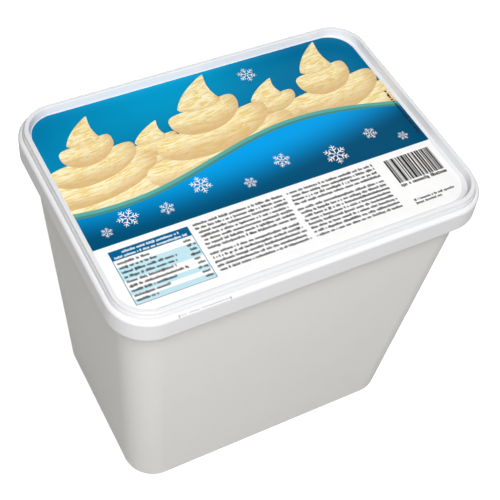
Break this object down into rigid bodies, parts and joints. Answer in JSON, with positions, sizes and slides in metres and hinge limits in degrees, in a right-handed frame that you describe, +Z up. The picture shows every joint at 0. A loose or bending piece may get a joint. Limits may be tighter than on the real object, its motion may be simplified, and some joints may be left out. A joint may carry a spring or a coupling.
{
  "type": "ice cream tub",
  "caption": "Shut rectangular plastic ice cream tub with leaning walls, a press-on lid with a raised rim and a tear tab, and a printed label set in the lid.",
  "frame": {"origin": "the middle of the tub's foot, on the surface that it stands on", "axes": "+X along the lid's long side, -Y out of the long side with the tear tab, +Z up"},
  "size_m": [0.226, 0.164, 0.21],
  "materials": {
    "tub": "white polypropylene, satin",
    "lid": "white polypropylene, soft gloss",
    "label": "printed film moulded into the lid"
  },
  "bodies": {
    "root": {"tub": "tub", "lid": "lid", "label": "label"}
  },
  "joints": []
}
